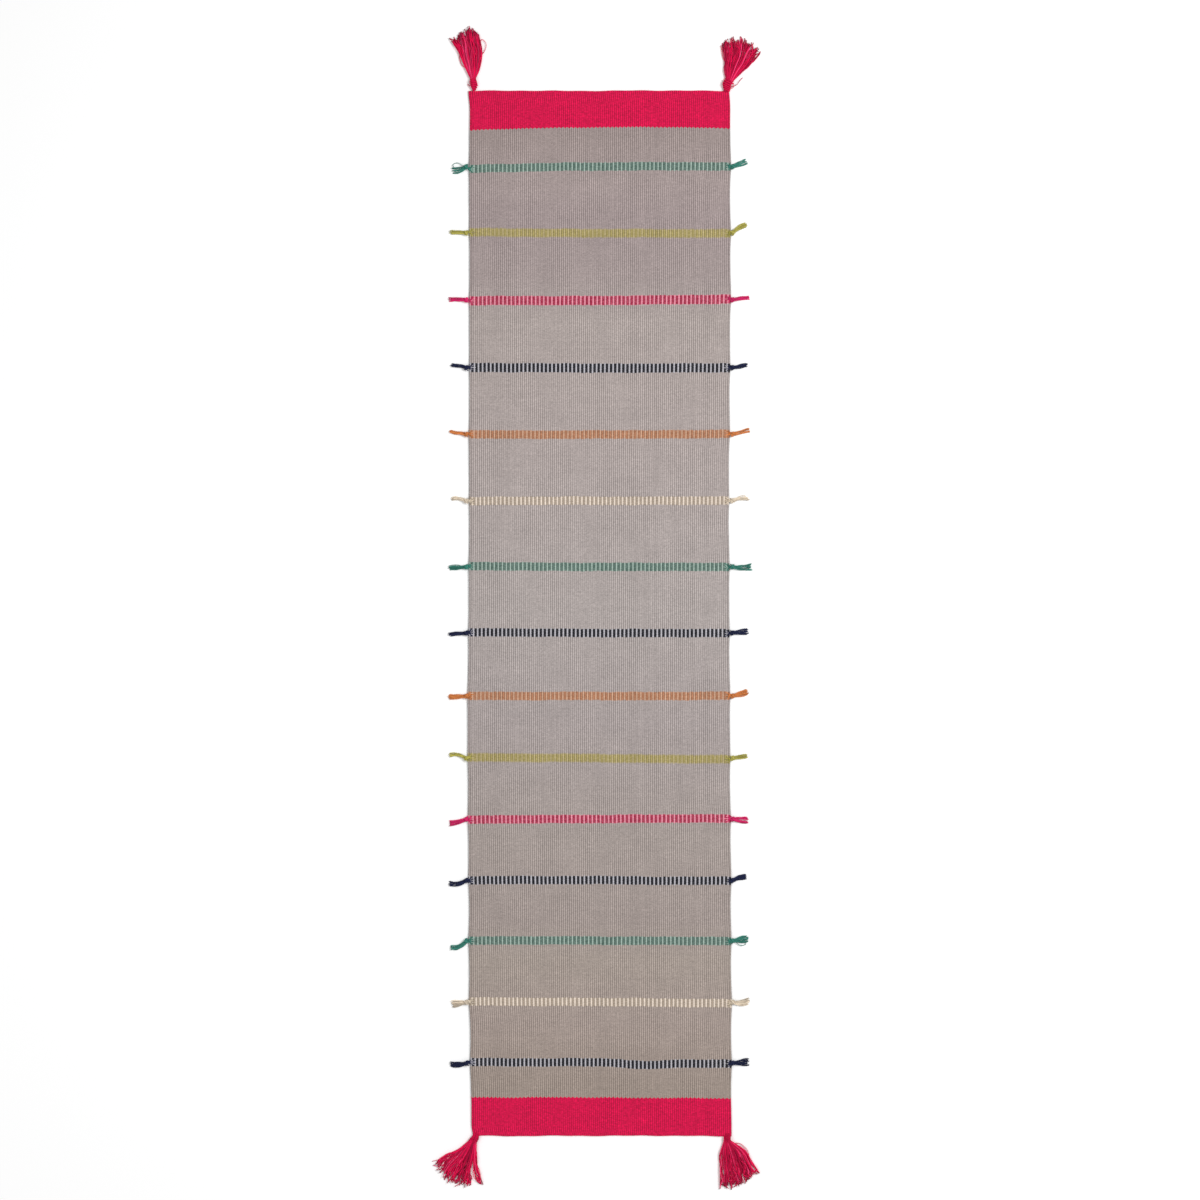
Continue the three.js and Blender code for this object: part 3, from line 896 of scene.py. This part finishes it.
def build_tassel(corner):
    knot_node, skirt_node = "tassel_knot_" + corner, "tassel_skirt_" + corner
    tie = np.array(joints["tassel_swing_" + corner]["pos_m"])
    neck = np.array(joints["tassel_lift_" + corner]["pos_m"])
    facts = TASSELS[corner]
    side, end = math.copysign(1, tie[0]), math.copysign(1, tie[1])
    cloth_end = HEAD_END if end > 0 else FOOT_END

    def place(points):
        points = np.array(points, float) * MM
        return np.stack([side * (HALF_WIDTH + points[:, 0]), cloth_end + end * points[:, 1],
                         np.zeros(len(points))], -1)

    inner, middle, outer = (spline(place(facts[key]), GUIDE_STEPS)
                            for key in ("inner", "middle", "outer"))
    skirt = Bundle(500 + sorted(TASSELS).index(corner))
    draws = skirt.draws
    lock_reach = draws.uniform(0.93, 1.03, LOCKS)
    lock_drift = draws.normal(0, 0.04, LOCKS)
    for k in range(STRANDS):
        share = np.clip(2 * k / (STRANDS - 1) - 1 + draws.uniform(-0.04, 0.04), -1, 1)
        lock = int((share + 1) / 2 * (LOCKS - 0.01))
        t = np.linspace(0, 1, GUIDE_STEPS)
        swing = draws.normal(0, 0.09) * np.sin(
            2 * math.pi * (t * draws.uniform(1.2, 3) + draws.uniform()))
        own = share + (draws.normal(0, 0.08) + lock_drift[lock] + swing) * t
        for middle_share, width in facts["partings"]:
            own = own + math.copysign(width, share - middle_share) * t ** 2 * math.exp(
                -abs(share - middle_share) / 0.25)
        own = np.clip(own, -1.03, 1.03)[:, None]
        path = middle * (1 - own ** 2) + (outer * (own + own ** 2) + inner * (own ** 2 - own)) / 2
        cut = lock_reach[lock] * draws.uniform(0.9, 1.04)
        cut = cut - (draws.uniform() < 0.15) * draws.uniform(0.04, 0.2)
        keep = np.linspace(0, cut, STRAND_STEPS) * (GUIDE_STEPS - 1)
        low = np.minimum(keep.astype(int), GUIDE_STEPS - 2)
        path = path[low] + (path[low + 1] - path[low]) * (keep - low)[:, None]
        root = path[0] + (path[0] - path[4]) * 0.9
        path = np.vstack([root, (root + path[0]) / 2, path])
        t = np.linspace(0, 1, len(path))
        layer = (k * 7) % 5
        packed = (layer - 2) * 1.7 * MM * max(0.0, 1 - share ** 2) ** 0.5
        settle = smooth(t * 1.25)
        lying = TASSEL_YARN * 1.1 + layer * (1.75 - 0.7 * t) * MM
        path[:, 2] = (neck[2] + packed) * (1 - settle) + lying * settle
        path[:, 2] += 0.5 * MM * np.sin(2 * math.pi * (t * 2.3 + draws.uniform())) * t * (layer > 0)
        # Painted highlight: about a fifth of the strands take the paler crimson. The wide spread in brightness
        # between strands is partly the yarn's own variation and partly painted light and shade.
        yarn = HIGHLIGHT_YARN if draws.uniform() < 0.22 else CRIMSON_YARN
        skirt.add(path, TASSEL_YARN * draws.uniform(0.8, 1.12), varied(yarn, draws, 0.24),
                  sides=7, darker_tip=0.55)
    loose = facts["loose"]
    for points in [strand for strand in loose if strand[0][1] > NECK_AWAY]:
        path = spline(place(points), 28)
        path[:, 2] = 3 * MM
        skirt.add(path, 0.85 * MM, varied(CRIMSON_YARN, draws), sides=7)
    made = skirt.object(skirt_node + "_yarn", yarn_cotton)
    forward, _ = plan_axes(middle[20] - middle[0])
    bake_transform(made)
    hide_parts(skirt_node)

    knot = Bundle(520 + sorted(TASSELS).index(corner))
    stations = np.array(facts["knot"], float)
    line = spline(place(stations[:, :2]), KNOT_STEPS)
    share = np.linspace(0, 1, KNOT_STEPS)
    half = np.interp(share, np.linspace(0, 1, len(stations)), stations[:, 2]) * MM
    level = np.interp(share, (0, 0.45, 1), (THICKNESS / 2, tie[2], neck[2]))
    forward, left = plan_axes(line[-1] - line[0])
    for k in range(KNOT_STRANDS):
        radius, turn = ((k + 0.5) / KNOT_STRANDS) ** 0.5, 2.4 * k
        inside = np.maximum(half - 1.2 * MM, 0.6 * MM)
        path = line + (math.cos(turn) * radius * inside)[:, None] * left
        path[:, 2] = level + math.sin(turn) * radius * np.minimum(inside, 5.0 * MM)
        path[:, 2] = np.maximum(path[:, 2], 1.3 * MM)
        path = np.vstack([path[0] - forward * 3 * MM, path])
        knot.add(path, KNOT_YARN, varied(CRIMSON_YARN, knot.draws, 0.16), frayed=False)
    if facts["wound"]:
        wind(knot, line, half, level, forward, left)
    for points in [strand for strand in loose if strand[0][1] <= NECK_AWAY]:
        path = spline(place(points), 22)
        path[:, 2] = np.linspace(9 * MM, 2 * MM, 22)
        knot.add(path, 0.9 * MM, varied(CRIMSON_YARN, knot.draws))
    made_knot = knot.object(knot_node + "_yarn", yarn_cotton)
    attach(made_knot, knot_node)
    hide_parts(knot_node)
    return made, made_knot


def wind(knot, line, half, level, forward, left):
    """Yarn wound round a tassel's knot: one slanted helix that follows its outline."""
    t = np.linspace(0.1, 0.92, 24 * WOUND_TURNS)
    index, known = t * (len(line) - 1), np.arange(len(line))
    angle = 2 * math.pi * WOUND_TURNS * np.linspace(0, 1, len(t))
    centre = np.stack([np.interp(index, known, line[:, axis]) for axis in range(3)], -1)
    wide = np.interp(index, known, half) - WOUND_YARN * 0.6
    high = np.minimum(wide, 5.6 * MM)
    slant = 2.6 * MM * np.cos(angle + 0.6)
    path = centre + slant[:, None] * forward + (wide * np.cos(angle))[:, None] * left
    path[:, 2] = np.interp(index, known, level) + high * np.sin(angle)
    path[:, 2] = np.maximum(path[:, 2], WOUND_YARN)
    knot.add(path, WOUND_YARN, varied(CRIMSON_YARN, knot.draws), reference=forward, frayed=False)


# ---- Everything ----
yarn_cotton = yarn_material("twisted cotton yarn")
crimson_weave = weave_material("crimson weave", CRIMSON)
ground_cloth = build_ground()
head_band = build_band("end_band_head", HEAD_SEAM, HEAD_END, "head_half")
foot_band = build_band("end_band_foot", FOOT_END, FOOT_SEAM, "foot_half")
tassels = {corner: build_tassel(corner) for corner in TASSELS}
for band, end, low, high in ((head_band, "head", HEAD_SEAM, HEAD_END),
                             (foot_band, "foot", FOOT_END, FOOT_SEAM)):
    hung = [piece for corner, pair in tassels.items() if corner.startswith(end) for piece in pair]
    hung += [build_stitch()] if end == "head" else []
for place, stripe_node in enumerate(stripe_nodes):
    stripe_piece = build_stripe(place + 1, stripe_node)
    loose_colour = YARNS[stripe_node.split("_")[2]][2]
    pair = [build_tuft(place + 1, side_name, loose_colour) for side_name in ("left", "right")]


# ---- Floor, light and camera ----
def build_floor():
    mesh = bpy.data.meshes.new("floor")
    size, level = 40, -0.4 * MM
    corners = [(x * size, y * size, level) for x, y in ((-1, -1), (1, -1), (1, 1), (-1, 1))]
    mesh.from_pydata(corners, [], [(0, 1, 2, 3)])
    floor = bpy.data.objects.new("floor", mesh)
    bpy.context.scene.collection.objects.link(floor)
    shader = Shader("pale floor")
    shader.set("Base Color", (0.97, 0.97, 0.97, 1))
    shader.set("Roughness", 0.9)
    shader.set("Specular IOR Level", 0.0)
    mesh.materials.append(shader.material)
    floor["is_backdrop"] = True


def add_area_light(name, place, size, watts):
    """A square light that points at the middle of the rug."""
    data = bpy.data.lights.new(name, "AREA")
    data.size, data.energy = size, watts
    lamp = bpy.data.objects.new(name, data)
    lamp.location = place
    lamp.rotation_mode = "QUATERNION"
    lamp.rotation_quaternion = Vector(-np.array(place, float)).to_track_quat("-Z", "Y")
    bpy.context.scene.collection.objects.link(lamp)


def build_light():
    world = bpy.data.worlds.new("studio")
    bpy.context.scene.world = world
    world.use_nodes = True
    background = world.node_tree.nodes["Background"]
    background.inputs["Color"].default_value = (1, 1, 1, 1)
    background.inputs["Strength"].default_value = 0.5
    add_area_light("key", (3.4, 1.3, 5.2), 2.2, 255)
    add_area_light("fill", (-3.0, -1.5, 5.0), 3.0, 70)


def build_camera():
    """Straight down on the rug, through a long lens, with the rug a little below the middle."""
    data = bpy.data.cameras.new("camera")
    camera = bpy.data.objects.new("camera", data)
    bpy.context.scene.collection.objects.link(camera)
    data.lens, data.sensor_width = 100, 36
    field = 2.761                  # metres of floor that the picture shows
    camera.location = (1.2 * MM, 28.8 * MM, field * data.lens / data.sensor_width)
    bpy.context.scene.camera = camera


build_floor()
build_light()
build_camera()
bpy.context.scene.view_settings.view_transform = "Standard"

low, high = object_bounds()
